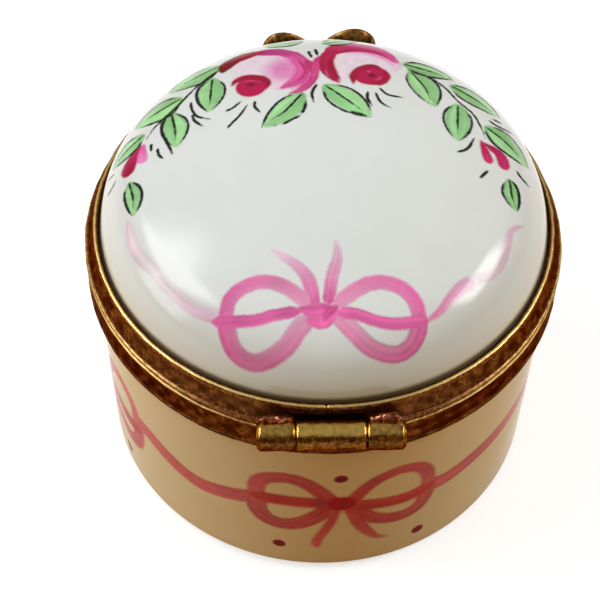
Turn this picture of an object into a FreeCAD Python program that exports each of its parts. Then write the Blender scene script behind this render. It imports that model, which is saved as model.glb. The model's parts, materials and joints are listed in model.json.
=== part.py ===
import FreeCAD, Part
import math
import os

# Round hinged keepsake box: a porcelain cup and dome, each bedded in a beaded brass bezel, joined
# by a three-knuckle hinge at the back and closed by a ribbon bow clasp at the front.
# Millimetres. Origin at the centre of the foot, +Z up, clasp at -Y, hinge at +Y.

# Whole box
rim_radius = 22.25           # outside of both bezels at the parting line
parting_height = 26.1        # plane where the lid meets the base
bedding = 0.15               # cement between porcelain and brass
bedding_setback = 0.3        # how far the cement stays back from the edges that show

# Porcelain cup
cup_wall = 2.8
cup_floor = 3.2
cup_taper = 0.4              # radius lost from neck to foot
cup_neck = 0.6               # straight porcelain that shows under the bezel
cup_lip_round = 0.5
cup_inside_round = 3.5
foot_round = 1.2
foot_ring_width = 2.6
foot_recess = 0.8

# Base bezel and throat ring
skirt_wall = 0.62
skirt_height = 3.2
flange_thickness = 0.8
rim_bead = 0.3               # radius of the beads along the parting line
skirt_bead = 0.24            # radius of the bead along the skirt's lower edge
throat_wall = 0.6
throat_rise = 0.8            # upstand above the parting line
throat_flange = 2.15         # flange between the throat ring and the rim's bead
throat_chamfer = 0.25
throat_clearance = 0.3       # lid seat ring around the throat ring

# Lid bezel and seat ring
lid_inset = 1.13             # top bead's centre line, in from the rim
lid_band_height = 2.5        # top of the top bead above the parting line
lid_bead = 0.32
seat_thickness = 1.35

# Porcelain dome
dome_wall = 2.4
dome_spring = 2.15           # start of the curve above the parting line
dome_rise = 8.72
dome_shoulder = 6.5          # radius of the shoulder's curve

# Hinge
hinge_offset = 0.7           # axis outside the rim
hinge_lift = 0.65            # axis above the parting line
knuckle_radius = 1.33
knuckle_chamfer = 0.14
outer_knuckle_length = 3.15
middle_knuckle_length = 6.0
knuckle_gap = 0.1
knuckle_clearance = 0.15     # base bezel around the turning outer knuckles
middle_relief = 0.5          # lid bezel filed back around the middle knuckle
pin_radius = 0.7
pin_clearance = 0.03
pin_head_radius = 1.12
pin_head_thickness = 0.22
leaf_width = 2.8
leaf_drop = 2.1              # rounded end of the leaf below the parting line
leaf_proud = 0.72            # leaf's face outside the rim
lid_solder_radius = 0.8
lid_solder_angle = 140.0     # about the hinge axis, from straight back
lid_solder_reach = 0.16      # bead's centre line outside the knuckle
base_solder_radius = 0.5
base_solder_angle = 245.0
base_solder_reach = 0.05
solder_setback = 0.1         # from the ends of the knuckle

# Clasp
tongue_gap = 0.45            # tongue's inner face outside the rim
tongue_wall = 0.45
tongue_width = 3.4
tongue_drop = 2.9            # lower end below the parting line
tongue_rise = 1.2            # upper end above the parting line
tongue_pad_lift = 0.25       # soldered pad above the parting line
stud_radius = 0.75
stud_drop = 1.75             # stud's centre below the parting line
stud_clearance = 0.07        # stud's tip behind the tongue's inner face
snap_hole_radius = 0.6
knot_lift = 0.25             # knot's centre above the parting line
knot_height = 2.1
knot_waist = 0.28            # how much slimmer the knot is at its ends
left_loop_length = 5.3
left_loop_lift = 9.0         # degrees up from level
right_loop_length = 4.75
right_loop_lift = 1.0
loop_depth = 1.7             # front to back where a loop is plumpest
loop_height = 5.2
loop_sweep = 5.0             # degrees back round the rim
loop_root = 0.75             # start of the loop from the knot's centre
loop_stand = 0.15            # loop's root off the tongue's face
tail_drop = 3.6              # tails' ends below the parting line
tail_spread = 2.9            # outer corner of the tails' ends from the centre
tail_width = 1.5
tail_curve = 0.3             # how far the tails' edges bow out
tail_notch = 0.55
tail_wall = 0.45

# Sizes that follow from the ones above
skirt_inside = rim_radius - skirt_wall
cup_radius = skirt_inside - bedding
cup_foot_radius = cup_radius - cup_taper
cup_inside = cup_radius - cup_wall
flange_under = parting_height - flange_thickness
cup_rim = flange_under - bedding
skirt_low = parting_height - skirt_height
throat_outside = rim_radius - rim_bead - throat_flange
throat_inside = throat_outside - throat_wall
seat_inside = throat_outside + throat_clearance
lid_bead_line = rim_radius - lid_inset
lid_pocket = lid_bead_line - lid_bead
lid_bead_height = parting_height + lid_band_height - lid_bead
seat_top = parting_height + seat_thickness
dome_radius = lid_pocket - bedding
dome_rim = seat_top + bedding
spring_height = parting_height + dome_spring
hinge_y = rim_radius + hinge_offset
hinge_z = parting_height + hinge_lift
hinge_reach = hinge_y + knuckle_radius
middle_half = middle_knuckle_length / 2
outer_start = middle_half + knuckle_gap
outer_end = outer_start + outer_knuckle_length
tongue_inside = rim_radius + tongue_gap
tongue_outside = tongue_inside + tongue_wall
knot_radius = hinge_reach - tongue_outside
knot_height_z = parting_height + knot_lift

Z_AXIS = FreeCAD.Vector(0, 0, 1)
X_AXIS = FreeCAD.Vector(1, 0, 0)
Y_AXIS = FreeCAD.Vector(0, 1, 0)
ORIGIN = FreeCAD.Vector(0, 0, 0)


def rz(r, z):
    """A point of a turned outline: distance from the box's axis, and height."""
    return FreeCAD.Vector(r, 0, z)


def on_circle(centre, radius, degrees):
    """A point on a circle in the plane of the turned outlines."""
    angle = math.radians(degrees)
    return centre + rz(radius * math.cos(angle), radius * math.sin(angle))


def line(start, end):
    return Part.LineSegment(start, end).toShape()


def arc(centre, radius, start, end):
    """An arc from one angle to another, in degrees, in the plane of the turned outlines."""
    points = [on_circle(centre, radius, a) for a in (start, (start + end) / 2, end)]
    return Part.Arc(*points).toShape()


def chain(*parts):
    """A closed outline from points and edges, with straight lines between them."""
    edges = []
    last = None
    first = None
    for part in parts:
        start = part if isinstance(part, FreeCAD.Vector) else part.firstVertex(True).Point
        end = part if isinstance(part, FreeCAD.Vector) else part.lastVertex(True).Point
        if first is None:
            first = start
        elif not last.isEqual(start, 1e-7):
            edges.append(line(last, start))
        if not isinstance(part, FreeCAD.Vector):
            edges.append(part)
        last = end
    if not last.isEqual(first, 1e-7):
        edges.append(line(last, first))
    return Part.Face(Part.Wire(edges))


def turned(*parts):
    """A solid turned about the box's axis from an outline."""
    return chain(*parts).revolve(ORIGIN, Z_AXIS, 360)


def bar(radius, start, end):
    """A round bar along the hinge axis."""
    return Part.makeCylinder(radius, end - start, FreeCAD.Vector(start, hinge_y, hinge_z), X_AXIS)


def shell(inside, outside):
    """A tall round wall about the box's axis."""
    height = 2 * parting_height
    return Part.makeCylinder(outside, height).cut(Part.makeCylinder(inside, height))


def front_plate(outline, inside, outside):
    """A plate with an outline seen from the front, curved to follow the rim."""
    prism = outline.extrude(FreeCAD.Vector(0, -2 * rim_radius, 0))
    return prism.common(shell(inside, outside))


def base_cup():
    floor = foot_recess + cup_floor
    foot_inside = cup_foot_radius - foot_round - foot_ring_width
    inside_low = cup_foot_radius - cup_wall
    return turned(
        rz(0, foot_recess),
        rz(foot_inside - foot_recess, foot_recess),
        rz(foot_inside, 0),
        arc(rz(cup_foot_radius - foot_round, foot_round), foot_round, -90, 0),
        rz(cup_radius, skirt_low - cup_neck),
        rz(cup_radius, cup_rim),
        arc(rz(cup_inside + cup_lip_round, cup_rim - cup_lip_round), cup_lip_round, 90, 180),
        arc(rz(inside_low - cup_inside_round, floor + cup_inside_round), cup_inside_round, 0, -90),
        rz(0, floor),
    )


def base_bedding_ring():
    inner = throat_inside + bedding_setback
    low = skirt_low + bedding_setback
    return turned(
        rz(inner, cup_rim),
        rz(cup_radius, cup_rim),
        rz(cup_radius, low),
        rz(skirt_inside, low),
        rz(skirt_inside, flange_under),
        rz(inner, flange_under),
    )


def plain_base_bezel():
    """The base bezel before the hinge is let into it."""
    top_bead = rz(rim_radius - rim_bead, parting_height - rim_bead)
    low_bead = rz(rim_radius - skirt_bead, skirt_low + skirt_bead)
    return turned(
        rz(skirt_inside, skirt_low),
        arc(low_bead, skirt_bead, -90, 55),
        arc(top_bead, rim_bead, -55, 90),
        rz(throat_outside, parting_height),
        rz(throat_outside, flange_under),
        rz(skirt_inside, flange_under),
    )


def base_bezel():
    middle_seat = bar(knuckle_radius, -outer_start, outer_start)
    ends = outer_end + pin_head_thickness + knuckle_clearance
    turning = bar(knuckle_radius + knuckle_clearance, -ends, ends)
    turning = turning.cut(bar(2 * knuckle_radius, -middle_half, middle_half))
    return plain_base_bezel().cut(middle_seat).cut(turning)


def base_throat_ring():
    top = parting_height + throat_rise
    return turned(
        rz(throat_inside, flange_under),
        rz(throat_outside, flange_under),
        rz(throat_outside, top - throat_chamfer),
        rz(throat_outside - throat_chamfer, top),
        rz(throat_inside, top),
    )


def plain_lid_bezel():
    """The lid bezel before the hinge is let into it."""
    low_bead = rz(rim_radius - rim_bead, parting_height + rim_bead)
    top_bead = rz(lid_bead_line, lid_bead_height)
    return turned(
        rz(lid_pocket, parting_height),
        arc(low_bead, rim_bead, -90, 45),
        arc(top_bead, lid_bead, -30, 180),
    )


def lid_bezel():
    ends = outer_end + pin_head_thickness
    outer_seats = bar(knuckle_radius, -ends, ends)
    relief = bar(knuckle_radius + middle_relief, -outer_start, outer_start)
    return plain_lid_bezel().cut(outer_seats).cut(relief)


def lid_seat_ring():
    return turned(
        rz(seat_inside, parting_height),
        rz(lid_pocket, parting_height),
        rz(lid_pocket, seat_top),
        rz(seat_inside, seat_top),
    )


def lid_bedding_ring():
    inner = seat_inside + bedding_setback
    top = lid_bead_height - bedding_setback
    return turned(
        rz(inner, seat_top),
        rz(lid_pocket, seat_top),
        rz(lid_pocket, top),
        rz(dome_radius, top),
        rz(dome_radius, dome_rim),
        rz(inner, dome_rim),
    )


def lid_dome():
    """A basket-handle dome: a tight shoulder running into a flatter crown, with an even wall."""
    width = dome_radius - dome_shoulder
    crown = (width**2 + dome_rise**2 - dome_shoulder**2) / (2 * (dome_rise - dome_shoulder))
    shoulder_centre = rz(width, spring_height)
    crown_centre = rz(0, spring_height + dome_rise - crown)
    meet = math.degrees(math.atan2(crown - dome_rise, width))
    inside = dome_radius - dome_wall
    return turned(
        rz(inside, dome_rim),
        rz(dome_radius, dome_rim),
        arc(shoulder_centre, dome_shoulder, 0, meet),
        arc(crown_centre, crown, meet, 90),
        arc(crown_centre, crown - dome_wall, 90, meet),
        arc(shoulder_centre, dome_shoulder - dome_wall, meet, 0),
    )


def knuckle(start, end):
    """A length of hinge tube with bevelled ends."""
    bore = pin_radius + pin_clearance
    corners = [
        (start, bore),
        (start, knuckle_radius - knuckle_chamfer),
        (start + knuckle_chamfer, knuckle_radius),
        (end - knuckle_chamfer, knuckle_radius),
        (end, knuckle_radius - knuckle_chamfer),
        (end, bore),
    ]
    points = [FreeCAD.Vector(x, hinge_y, hinge_z + r) for x, r in corners]
    return chain(*points).revolve(FreeCAD.Vector(0, hinge_y, hinge_z), X_AXIS, 360)


def base_knuckle():
    """The middle knuckle, with a round-ended leaf down the face of the base bezel."""
    half = leaf_width / 2
    round_centre = rz(0, parting_height - leaf_drop + half)
    outline = chain(
        rz(half, parting_height),
        rz(-half, parting_height),
        arc(round_centre, half, 180, 360),
    )
    leaf = outline.extrude(FreeCAD.Vector(0, 2 * rim_radius, 0))
    leaf = leaf.common(shell(rim_radius - skirt_wall / 2, rim_radius + leaf_proud))
    leaf = leaf.cut(base_bezel())
    bore = bar(pin_radius + pin_clearance, -middle_half, middle_half)
    return knuckle(-middle_half, middle_half).fuse(leaf).cut(bore).removeSplitter()


def hinge_pin():
    """A pin whose two heads are peened over the ends of the outer knuckles."""
    end = outer_end + pin_head_thickness
    heads = [bar(pin_head_radius, -end, -outer_end), bar(pin_head_radius, outer_end, end)]
    return bar(pin_radius, -outer_end, outer_end).multiFuse(heads).removeSplitter()


def solder_bead(radius, reach, degrees, start, end):
    """A round-ended run of solder along the hinge, at an angle about the hinge axis."""
    radius = min(radius, 0.45 * (end - start))
    angle = math.radians(degrees)
    distance = knuckle_radius + reach
    y = hinge_y + distance * math.cos(angle)
    z = hinge_z + distance * math.sin(angle)
    near = FreeCAD.Vector(start + radius, y, z)
    far = FreeCAD.Vector(end - radius, y, z)
    run = Part.makeCylinder(radius, far.x - near.x, near, X_AXIS)
    return run.multiFuse([Part.makeSphere(radius, near), Part.makeSphere(radius, far)])


def lid_hinge_solder():
    start = outer_start + solder_setback
    end = outer_end - solder_setback
    mount = lid_bezel()
    beads = []
    for low, high in ((-end, -start), (start, end)):
        bead = solder_bead(lid_solder_radius, lid_solder_reach, lid_solder_angle, low, high)
        beads.append(bead.cut(bar(knuckle_radius, low, high)).cut(mount))
    return Part.makeCompound([outermost(bead) for bead in beads])


def base_hinge_solder():
    start = leaf_width / 2
    end = middle_half - solder_setback
    mounts = base_knuckle().fuse(base_bezel())
    beads = []
    for low, high in ((-end, -start), (start, end)):
        bead = solder_bead(base_solder_radius, base_solder_reach, base_solder_angle, low, high)
        beads.append(bead.cut(mounts))
    return Part.makeCompound([outermost(bead) for bead in beads])


def outermost(shape):
    """The solid that stands furthest back, where a cut leaves others inside a mount."""
    return max(shape.Solids, key=lambda solid: solid.CenterOfMass.y)


def catch_stud():
    """A domed stud on the face of the base bezel."""
    tip = tongue_inside - stud_clearance
    centre = FreeCAD.Vector(0, stud_radius - tip, parting_height - stud_drop)
    dome = Part.makeSphere(stud_radius, centre)
    return dome.cut(Part.makeCylinder(skirt_inside, parting_height)).cut(plain_base_bezel())


def clasp_tongue():
    """A round-ended spring tongue, soldered to the lid bezel and pierced for the stud."""
    half = tongue_width / 2
    top = parting_height + tongue_rise
    round_centre = rz(0, parting_height - tongue_drop + half)
    plate = front_plate(
        chain(rz(half, top), rz(-half, top), arc(round_centre, half, 180, 360)),
        tongue_inside,
        tongue_outside,
    )
    pad_low = parting_height + tongue_pad_lift
    pad_outline = chain(rz(half, top), rz(-half, top), rz(-half, pad_low), rz(half, pad_low))
    pad = front_plate(pad_outline, lid_bead_line, tongue_inside).cut(plain_lid_bezel())
    hole = Part.makeCylinder(
        snap_hole_radius,
        tongue_outside,
        FreeCAD.Vector(0, 0, parting_height - stud_drop),
        -Y_AXIS,
    )
    return plate.fuse(pad).cut(hole).removeSplitter()


def bow_loop(length, lift):
    """The right-hand ribbon loop: a plump cast fan, narrow at the knot and blunt at its end."""
    shares = (
        (0, 0.45, 0.42),
        (0.25, 0.65, 0.8),
        (0.5, 0.85, 1.0),
        (0.75, 0.92, 0.97),
        (0.92, 0.75, 0.72),
        (1.0, 0.25, 0.25),
    )
    sections = []
    for along, deep, high in shares:
        stretch = FreeCAD.Matrix()
        stretch.scale(FreeCAD.Vector(1, deep * loop_depth, high * loop_height))
        ring = Part.Circle(ORIGIN, X_AXIS, 0.5).toShape().transformGeometry(stretch)
        ring.translate(FreeCAD.Vector(along * length, 0, 0))
        sections.append(Part.Wire([ring]))
    loop = Part.makeLoft(sections, True)
    loop.rotate(ORIGIN, Y_AXIS, -lift)
    loop.rotate(ORIGIN, Z_AXIS, loop_sweep)
    root_y = -(tongue_outside + loop_stand + loop_depth / 4)
    loop.translate(FreeCAD.Vector(loop_root, root_y, knot_height_z))
    return loop


def bow_tail():
    """The right-hand ribbon tail: notched, and splayed out below the knot."""
    top = knot_height_z - knot_height / 4
    low = parting_height - tail_drop
    inner = tail_spread - tail_width
    notch = rz(tail_spread - tail_width / 2, low + 1.4 * tail_notch)

    def bowed(start, end):
        middle = (start + end) * 0.5 + rz(tail_curve, 0)
        return Part.Arc(start, middle, end).toShape()

    outline = chain(
        bowed(rz(tail_width / 2, top), rz(tail_spread, low + tail_notch)),
        notch,
        bowed(rz(inner, low), rz(0, top)),
    )
    return front_plate(outline, tongue_outside, tongue_outside + tail_wall)


def bow_knot():
    """A barrel that stands as far out as the hinge does, seated against the tongue."""
    half = knot_height / 2
    end = knot_radius - knot_waist
    swell = Part.Arc(rz(end, -half), rz(knot_radius, 0), rz(end, half)).toShape()
    knot = turned(rz(0, -half), swell, rz(0, half))
    knot.translate(FreeCAD.Vector(0, -tongue_outside, knot_height_z))
    return knot.cut(Part.makeCylinder(tongue_outside, 2 * parting_height))


def clasp_bow():
    """The cast bow: a knot, two ribbon loops and two tails."""
    right_tail = bow_tail()
    pieces = [
        bow_loop(right_loop_length, right_loop_lift),
        bow_loop(left_loop_length, left_loop_lift).mirror(ORIGIN, X_AXIS),
        right_tail,
        right_tail.mirror(ORIGIN, X_AXIS),
    ]
    return bow_knot().multiFuse(pieces).cut(clasp_tongue()).removeSplitter()


def save(name, shape):
    """Writes one piece, after a check that it is sound."""
    if not shape.isValid() or not shape.Solids:
        raise RuntimeError(name + " is not a sound solid")
    shape.exportStep("parts/" + name + ".step")
    print(f"{name:20s} solids {len(shape.Solids)}  volume {shape.Volume:9.2f}")


os.makedirs("parts", exist_ok=True)
save("base_cup", base_cup())
save("base_bedding_ring", base_bedding_ring())
save("base_bezel", base_bezel())
save("base_throat_ring", base_throat_ring())
save("base_knuckle", base_knuckle())
save("base_hinge_solder", base_hinge_solder())
save("catch_stud", catch_stud())
save("lid_dome", lid_dome())
save("lid_bedding_ring", lid_bedding_ring())
save("lid_bezel", lid_bezel())
save("lid_seat_ring", lid_seat_ring())
save("lid_knuckle_left", knuckle(-outer_end, -outer_start))
save("lid_knuckle_right", knuckle(outer_start, outer_end))
save("hinge_pin", hinge_pin())
save("lid_hinge_solder", lid_hinge_solder())
save("clasp_tongue", clasp_tongue())
save("clasp_bow", clasp_bow())
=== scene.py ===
import json
import math

import bpy
import numpy as np
from mathutils import Matrix, Vector


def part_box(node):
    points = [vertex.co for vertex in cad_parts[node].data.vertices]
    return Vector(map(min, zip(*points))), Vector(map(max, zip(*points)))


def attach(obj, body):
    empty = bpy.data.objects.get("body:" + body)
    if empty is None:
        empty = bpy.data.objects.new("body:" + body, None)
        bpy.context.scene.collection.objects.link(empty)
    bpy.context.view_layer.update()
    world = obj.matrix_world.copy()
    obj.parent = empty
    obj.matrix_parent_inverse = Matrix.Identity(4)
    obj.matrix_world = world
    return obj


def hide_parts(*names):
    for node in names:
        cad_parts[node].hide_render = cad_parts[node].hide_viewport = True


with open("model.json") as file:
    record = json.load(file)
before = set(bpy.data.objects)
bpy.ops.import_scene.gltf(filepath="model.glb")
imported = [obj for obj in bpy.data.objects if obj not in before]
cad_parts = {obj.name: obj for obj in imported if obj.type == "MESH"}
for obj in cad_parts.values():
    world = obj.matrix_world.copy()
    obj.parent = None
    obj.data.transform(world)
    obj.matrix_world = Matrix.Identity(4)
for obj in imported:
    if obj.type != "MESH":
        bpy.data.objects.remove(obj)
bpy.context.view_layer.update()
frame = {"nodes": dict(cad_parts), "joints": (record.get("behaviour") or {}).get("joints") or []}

# A round porcelain keepsake box in antique brass mounts, painted with ribbons and a rose garland.
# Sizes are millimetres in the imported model's frame, and become metres when a mesh is made.
MM = 0.001


def corners(node):
    """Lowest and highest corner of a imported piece, in millimetres."""
    return [np.array(corner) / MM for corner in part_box(node)]


# Sizes read from the frame
_, cup_high = corners("base_cup")
dome_low, dome_high = corners("lid_dome")
base_low, base_high = corners("base_bezel")
lid_low, lid_high = corners("lid_bezel")
knuckle_low, knuckle_high = corners("lid_knuckle_right")
CUP_RADIUS, CUP_RIM = cup_high[0], cup_high[2]
DOME_RADIUS, DOME_RIM, DOME_TOP = dome_high[0], dome_low[2], dome_high[2]
RIM_RADIUS = base_high[0]
SKIRT_LOW, PARTING, LID_BEAD_TOP = base_low[2], lid_low[2], lid_high[2]
THROAT = corners("base_throat_ring")[1][0]
_, HINGE_Y, HINGE_Z = np.array(frame["joints"][0]["pos_m"]) / MM
KNUCKLE_RADIUS = (knuckle_high[2] - knuckle_low[2]) / 2
OUTER_START, OUTER_END = knuckle_low[0], knuckle_high[0]
MIDDLE_HALF = corners("base_knuckle")[1][0]
PIN_END = corners("hinge_pin")[1][0]
LEAF_LOW = corners("base_knuckle")[0][2]

# Porcelain
DOME_SPRING = 0.65  # straight rim below the dome's curve
DOME_SHOULDER = 6.5
DOME_WALL = 2.4
CUP_WALL = 2.8
CUP_TAPER = 0.4
CUP_NECK = 0.6
CUP_FLOOR = 4.0  # height of the floor inside
CUP_INSIDE_ROUND = 3.5
CUP_LIP_ROUND = 0.5
FOOT_ROUND = 1.2
FOOT_RING_WIDTH = 2.6
FOOT_RECESS = 0.8

# Brass bands
RIM_BEAD = 0.3
SKIRT_BEAD = 0.24
SKIRT_WALL = 0.62
SKIRT_REACH = 0.45  # how far the skirt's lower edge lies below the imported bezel's
SKIRT_EDGE = SKIRT_LOW - SKIRT_REACH
FLANGE = 0.8
LID_BEAD = 0.32
LID_INSET = 1.13
SEAM_X = 0.4  # where the lid's bead wire meets itself
SEAM_WIDTH = 0.10
SEAM_DEPTH = 0.12
BAND_DENTS = ((0.016, 2.4), (0.008, 0.9))  # depths and wavelengths

# Hinge
KNUCKLE_BORE = 0.73
KNUCKLE_CHAMFER = 0.14
KNUCKLE_DENTS = ((0.012, 0.7), (0.010, 1.6))
KNUCKLE_SHY = 0.014  # how far the dented tube lies inside its true size
PIN_RADIUS = 0.7
PIN_HEAD_RADIUS = 1.12
PIN_HEAD_CURVE = ((1, 0), (1, 0.4), (0.93, 0.72), (0.6, 0.93))  # shares of its radius and height
TURNING_CLEARANCE = 0.15
MIDDLE_RELIEF = 0.5
LEAF_HALF = 1.4
LEAF_PROUD = 0.72
LEAF_ROUND = 0.14

SOLDER_LUMPS = (0.16, 0.9)
# Solder runs along the hinge: start, end, degrees about its axis, reach outside the tube, thickness,
# width and seed
LID_SOLDER = (
    (-OUTER_END + 0.05, -OUTER_START - 0.1, 142, 0.10, 0.5, 0.72, 61),
    (-OUTER_END + 0.3, -OUTER_START - 1.2, 128, 0.3, 0.4, 0.5, 62),
    (OUTER_START + 0.05, OUTER_END - 0.1, 142, 0.08, 0.45, 0.66, 63),
    (OUTER_START + 1.0, OUTER_END - 0.2, 130, 0.25, 0.36, 0.5, 64),
)
BASE_SOLDER = (
    (-MIDDLE_HALF + 0.1, -LEAF_HALF + 0.1, 245, 0.05, 0.42, 0.5, 65),
    (LEAF_HALF - 0.1, MIDDLE_HALF - 0.1, 245, 0.05, 0.42, 0.5, 66),
)

# How rubbed the brass is, with some painted light and shade: 1 is bright, 0 is plain patina and below 0
# it is grimy or painted shade
CREST_RUBBED = 0.95  # top beads of both bands
PARTING_RUBBED = 0.65  # lid's bead along the parting line
LID_FLAT_RUBBED = -0.4
SKIRT_RUBBED = -0.5
# Painted shadow along the skirt's lower edge
SKIRT_EDGE_SHADOW = -0.6
FLANGE_RUBBED = 0.45
PIN_RUBBED = 0.3
# The hinge tubes are drawn brighter on top and darker below: wear and grime, with painted light from
# above and painted shade beneath
OUTER_KNUCKLE = (0.56, 0.5)  # rubbed gold above and grime below, with painted light above and painted shade below
MIDDLE_KNUCKLE = (0.75, 0.3)
GOLD_AND_LIGHT_HEIGHTS = (0.6, 0.9)  # where the gold and painted light come in, as shares of the tube's radius above its axis
GRIME_AND_SHADE_HEIGHTS = (0.1, 0.8)
END_HEIGHTS = (0.3, 0.8)
END_WIDTHS = (0.05, 0.16)  # rubbed edge, with a painted highlight, at each end of a tube
END_WEAR_AND_HIGHLIGHT = 0.6  # share of the gold and painted highlight there
BEAD_SHINE = 30.0  # degrees of a bead's crest that are rubbed bright
BLOTCH = (0.22, 1.3)  # how much a band's grime comes and goes, and its wavelength
HINGE_SHADING = 0.4  # share of the parting beads' brightness taken away beside the hinge, as painted shade
HINGE_SHADED_ANGLES = (18, 42)  # degrees round from the hinge over which that fades

# Mesh fineness
PAINT_STEP = 0.14  # rows where there is paint on the dome
CUP_STEP = 0.2
DOME_COLUMNS = 800
CUP_COLUMNS = 660
BAND_COLUMNS = 1400
BARREL_COLUMNS = 120
BARREL_STEP = 0.09
SOLDER_COLUMNS = 28
SOLDER_ROWS = 26
FLAT_STEP = 0.17  # across a band's flat
SHARP_ANGLE = 50  # degrees between faces that keep a sharp edge
PATH_STEP = 0.12  # along a brush stroke
PAINT_REACH = 1.2  # how far from a stroke its depth is kept

# Dome's curve: a crown arc that runs into a tighter shoulder
SPRING_HEIGHT = DOME_RIM + DOME_SPRING
DOME_RISE = DOME_TOP - SPRING_HEIGHT
SHOULDER_CENTRE = DOME_RADIUS - DOME_SHOULDER
CROWN = (SHOULDER_CENTRE**2 + DOME_RISE**2 - DOME_SHOULDER**2) / (2 * (DOME_RISE - DOME_SHOULDER))
CROWN_TILT = math.atan2(SHOULDER_CENTRE, CROWN - DOME_RISE)
CROWN_LENGTH = CROWN * CROWN_TILT
SHOULDER_LENGTH = DOME_SHOULDER * (math.pi / 2 - CROWN_TILT)
DOME_LENGTH = CROWN_LENGTH + SHOULDER_LENGTH + DOME_SPRING


def linear(red, green, blue):
    """A colour written as 0 to 255 display values, as linear light."""
    value = np.array([red, green, blue]) / 255
    return np.where(value <= 0.04045, value / 12.92, ((value + 0.055) / 1.055) ** 2.4)


def rgba(colour):
    """A linear colour as an opaque socket value."""
    return (*[float(c) for c in colour], 1.0)


# Palette
GLAZE = linear(223, 226, 224)
# Painted shade: the cup's glaze is a warm cream copy of the white glaze, standing for warm bounced
# light on its shaded walls
CUP_GLAZE_IN_WARM_SHADE = linear(230, 213, 165)
# Painted warm reflection: tint of the glaze near the lid's rim and the cup's foot
WARM_REFLECTION = np.array([0.96, 0.95, 0.83])
JOINT_STAIN_AND_SHADE = np.array([0.28, 0.18, 0.08])  # stain in the glaze along a brass band, with painted shade where the band shades the porcelain
ORCHID = linear(222, 102, 165)
ORCHID_DEEP = linear(214, 84, 148)
ORCHID_PALE = linear(233, 182, 213)
# Ribbon colours washed out by a painted highlight, for the trails under the lamps' glare
ORCHID_FAINT_UNDER_GLARE = linear(233, 205, 220)
ORCHID_UNDER_GLARE = linear(233, 220, 225)
PETAL_PALE = linear(230, 212, 224)
PETAL = linear(226, 168, 205)
PETAL_DEEP = linear(222, 128, 186)
PETAL_MID = linear(208, 80, 148)
PETAL_ROSE = linear(198, 40, 104)
CRIMSON_LIT = linear(180, 8, 75)
CRIMSON = linear(160, 0, 54)
CRIMSON_DARK = linear(106, 0, 10)
MAGENTA = linear(176, 36, 124)
LEAF = linear(156, 210, 146)
LEAF_SHADE = linear(124, 184, 114)
INK = linear(20, 27, 21)
DUSTY = linear(214, 104, 106)
DUSTY_DEEP = linear(202, 70, 62)
DUSTY_KNOT = linear(182, 18, 0)
DOT = linear(138, 20, 0)
BRASS_EDGE = linear(170, 130, 70)
BRASS_DARK = linear(86, 46, 21)
BRASS_MIDDLE = linear(140, 84, 43)
BRASS_BRIGHT = linear(238, 204, 130)
HINGE_MIDDLE = linear(152, 98, 42)
HINGE_BRIGHT = linear(246, 202, 104)
CAST_DARK = linear(92, 52, 18)
CAST_MIDDLE = linear(146, 100, 44)
SOLDER_DARK = linear(104, 52, 30)
SOLDER_BRIGHT = linear(206, 130, 98)
CEMENT_DARK = linear(150, 138, 112)
CEMENT_PALE = linear(196, 186, 162)
GRIME_AND_SHADE_DARKNESS = 0.5  # how dark the grime and painted shade are, as a share of the dark patina

# Finishes
LID_SOFTNESS = (0.17, 0.15, 0.08)  # spread of the paint's edges in each layer
CUP_SOFTNESS = (0.24, 0.30, 0.14)
LID_WARM = (28.0, 33.6)  # heights over which the painted warm reflection fades into the plain glaze
CUP_WARM = (0.0, 2.6)
# Heights between which the stain and painted shade along a brass band fade
LID_STAIN_AND_SHADE = (LID_BEAD_TOP, LID_BEAD_TOP + 0.6)
CUP_STAIN_AND_SHADE = (SKIRT_EDGE - 0.2, SKIRT_EDGE - 0.65)
LID_POLISH = 0.5
CUP_POLISH = 0.012  # low, because the white floor mirrored in a full gloss washes out its colours
# Least and greatest roughness
BAND_DULLNESS = (0.42, 0.54)
HINGE_DULLNESS = (0.26, 0.36)
CAST_DULLNESS = (0.34, 0.5)


def ripple(points, wavelength, seed, waves=14):
    """A smooth irregular field of about -1 to 1, from a few seeded sine waves."""
    rng = np.random.default_rng(seed)
    directions = rng.normal(size=(waves, points.shape[1]))
    directions /= np.linalg.norm(directions, axis=1, keepdims=True)
    numbers = 2 * math.pi / (wavelength * rng.uniform(0.6, 1.6, (waves, 1)))
    phases = rng.uniform(0, 2 * math.pi, waves)
    return np.sin(points @ (directions * numbers).T + phases).sum(1) / math.sqrt(waves)


def ripples(points, sizes, seed):
    """A sum of ripples, given by the depth and wavelength of each."""
    return sum(depth * ripple(points, length, seed + k) for k, (depth, length) in enumerate(sizes))


def eased(value, low, high):
    """A smooth step from 0 at low to 1 at high."""
    share = np.clip((value - low) / (high - low), 0, 1)
    return share * share * (3 - 2 * share)


def arc(centre, radius, start, end, count):
    """Points of an outline along an arc, from one angle to another in degrees."""
    angle = np.radians(np.linspace(start, end, count))
    return np.stack([centre[0] + radius * np.cos(angle), centre[1] + radius * np.sin(angle)], 1)


def run(start, end, step):
    """Points of an outline along a straight line, without the last."""
    start, end = np.array(start, float), np.array(end, float)
    count = max(1, round(np.linalg.norm(end - start) / step))
    return start + (end - start) * (np.arange(count) / count)[:, None]


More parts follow.
